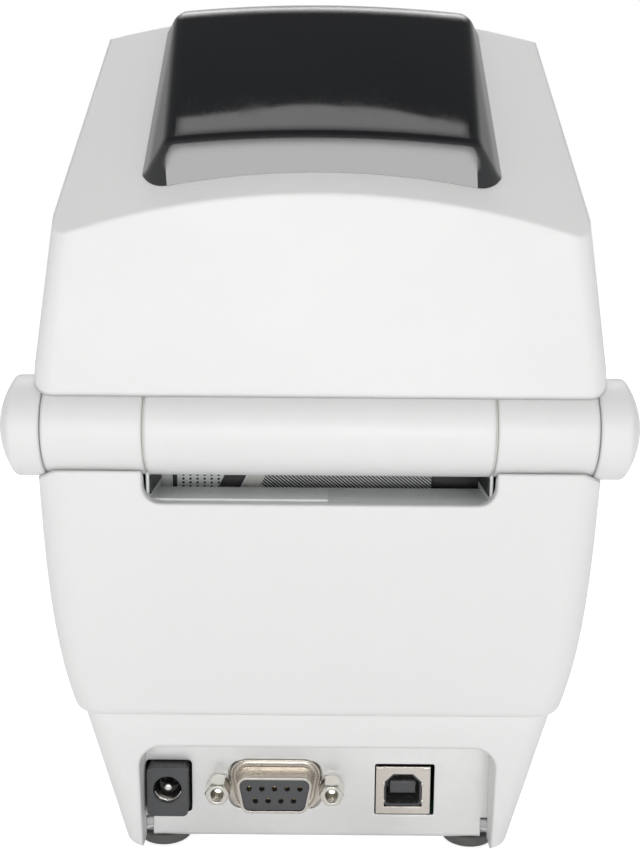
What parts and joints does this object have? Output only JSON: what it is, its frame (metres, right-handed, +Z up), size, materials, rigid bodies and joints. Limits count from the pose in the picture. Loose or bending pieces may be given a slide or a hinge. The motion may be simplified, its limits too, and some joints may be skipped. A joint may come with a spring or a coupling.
{
  "type": "thermal transfer label printer",
  "caption": "Desktop label printer with a domed hinged cover, smoked window strip, barrel hinge with round caps, rear media slot and a recessed connector panel.",
  "frame": {"origin": "under the middle of the printer, on the surface that its feet stand on", "axes": "+Z up, +Y towards the back with the hinge and sockets, +X to the right of someone facing the front"},
  "size_m": [0.124, 0.215, 0.1838],
  "materials": {
    "white_plastic": "fine satin texture",
    "smoked_plastic": "gloss, smoked",
    "grey_plastic": "satin",
    "black_plastic": "satin",
    "button_plastic": "satin",
    "light_lens": "clear green",
    "rubber": "matte",
    "sheet_metal": "satin",
    "zinc_sheet": "zinc plated",
    "screw_steel": "plated",
    "blade_steel": "ground",
    "socket_metal": "nickel plated",
    "socket_black": "moulded",
    "contact_metal": "bright",
    "contact_gold": "bright",
    "brass_posts": "turned",
    "circuit_board": "solder mask",
    "chip_black": "moulded",
    "bushing_plastic": "moulded",
    "gear_plastic": "moulded",
    "motor_can": "zinc plated",
    "head_aluminium": "extruded",
    "head_ceramic": "glazed ceramic"
  },
  "bodies": {
    "chassis": {"bottom_pan": "sheet_metal", "rubber_feet": "rubber", "pan_screws": "screw_steel", "base_tray": "white_plastic", "lower_shell": "white_plastic", "hinge_knuckle_left": "white_plastic", "hinge_knuckle_right": "white_plastic", "hinge_cap_left": "white_plastic", "hinge_cap_right": "white_plastic", "hinge_pins": "screw_steel", "board_standoffs": "brass_posts", "main_board": "circuit_board", "board_parts": "chip_black", "dc_jack_body": "socket_black", "dc_jack_pin": "contact_metal", "serial_shell": "socket_metal", "serial_insert": "socket_black", "serial_contacts": "contact_gold", "jackscrews": "screw_steel", "usb_shell": "socket_metal", "usb_tongue": "socket_black", "usb_contacts": "contact_gold", "slot_lip": "grey_plastic", "print_chassis": "zinc_sheet", "platen_bushings": "bushing_plastic", "idler_axle": "screw_steel", "stepper_motor": "motor_can", "tear_bar": "blade_steel", "roll_rail": "black_plastic", "status_light": "light_lens", "button_board": "circuit_board"},
    "cover": {"top_cover": "white_plastic", "window": "smoked_plastic", "hinge_barrel": "white_plastic", "ribbon_carriage": "black_plastic", "catch_pins": "screw_steel"},
    "print_head": {"head_bracket": "zinc_sheet", "head_heatsink": "head_aluminium", "head_ceramic": "head_ceramic"},
    "supply_spindle": {"ribbon_supply_spindle": "black_plastic"},
    "takeup_spindle": {"ribbon_takeup_spindle": "black_plastic", "takeup_gear": "gear_plastic"},
    "platen": {"platen_shaft": "screw_steel", "platen_rubber": "rubber", "platen_gear": "gear_plastic"},
    "idler": {"idler_gear": "gear_plastic"},
    "rotor": {"motor_pinion": "brass_posts"},
    "latch": {"latch_frame": "black_plastic"},
    "holder_left": {"roll_holder_left": "black_plastic"},
    "holder_right": {"roll_holder_right": "black_plastic"},
    "holder_drive": {"holder_pinion": "gear_plastic"},
    "button": {"feed_button": "button_plastic"}
  },
  "joints": [
    {"name": "cover_hinge", "type": "hinge", "parent": "chassis", "child": "cover", "pos_m": [0, 0.0976, 0.0986], "axis": [-1, 0, 0], "range_deg": [0, 78]},
    {"name": "head_pivot", "type": "hinge", "parent": "cover", "child": "print_head", "pos_m": [0, -0.064, 0.11], "axis": [-1, 0, 0], "range_deg": [0, 3], "stiffness_Nm_per_rad": 2, "springref_deg": -5.73},
    {"name": "supply_spin", "type": "hinge", "parent": "cover", "child": "supply_spindle", "pos_m": [0, -0.038, 0.139], "axis": [1, 0, 0], "continuous": true},
    {"name": "takeup_spin", "type": "hinge", "parent": "cover", "child": "takeup_spindle", "pos_m": [0, -0.072, 0.122], "axis": [1, 0, 0], "continuous": true},
    {"name": "platen_spin", "type": "hinge", "parent": "chassis", "child": "platen", "pos_m": [0, -0.088, 0.091], "axis": [1, 0, 0], "continuous": true},
    {"name": "idler_spin", "type": "hinge", "parent": "chassis", "child": "idler", "pos_m": [0, -0.07139, 0.07848], "axis": [1, 0, 0], "continuous": true},
    {"name": "rotor_spin", "type": "hinge", "parent": "chassis", "child": "rotor", "pos_m": [0, -0.0608, 0.06443], "axis": [1, 0, 0], "continuous": true},
    {"name": "latch_pull", "type": "hinge", "parent": "chassis", "child": "latch", "pos_m": [0, -0.0935, 0.0625], "axis": [1, 0, 0], "range_deg": [0, 5], "stiffness_Nm_per_rad": 0.5, "springref_deg": -5.73},
    {"name": "holder_slide", "type": "slide", "parent": "chassis", "child": "holder_left", "axis": [-1, 0, 0], "range_m": [0, 0.018]},
    {"name": "holder_follow", "type": "slide", "parent": "chassis", "child": "holder_right", "axis": [1, 0, 0], "range_m": [0, 0.018]},
    {"name": "holder_pinion_turn", "type": "hinge", "parent": "chassis", "child": "holder_drive", "pos_m": [0, 0.04, 0.045], "axis": [0, 0, 1], "range_deg": [0, 162]},
    {"name": "button_press", "type": "slide", "parent": "chassis", "child": "button", "axis": [0, 1, 0], "range_m": [0, 0.0012], "stiffness_N_per_m": 400, "springref_m": -0.0005}
  ],
  "couplings": [
    {"joint": "idler_spin", "follows": "platen_spin", "ratio": -0.625},
    {"joint": "rotor_spin", "follows": "platen_spin", "ratio": 1.6667},
    {"joint": "holder_follow", "follows": "holder_slide", "ratio": 1},
    {"joint": "holder_pinion_turn", "follows": "holder_slide", "rad_per_m": 156.25}
  ]
}
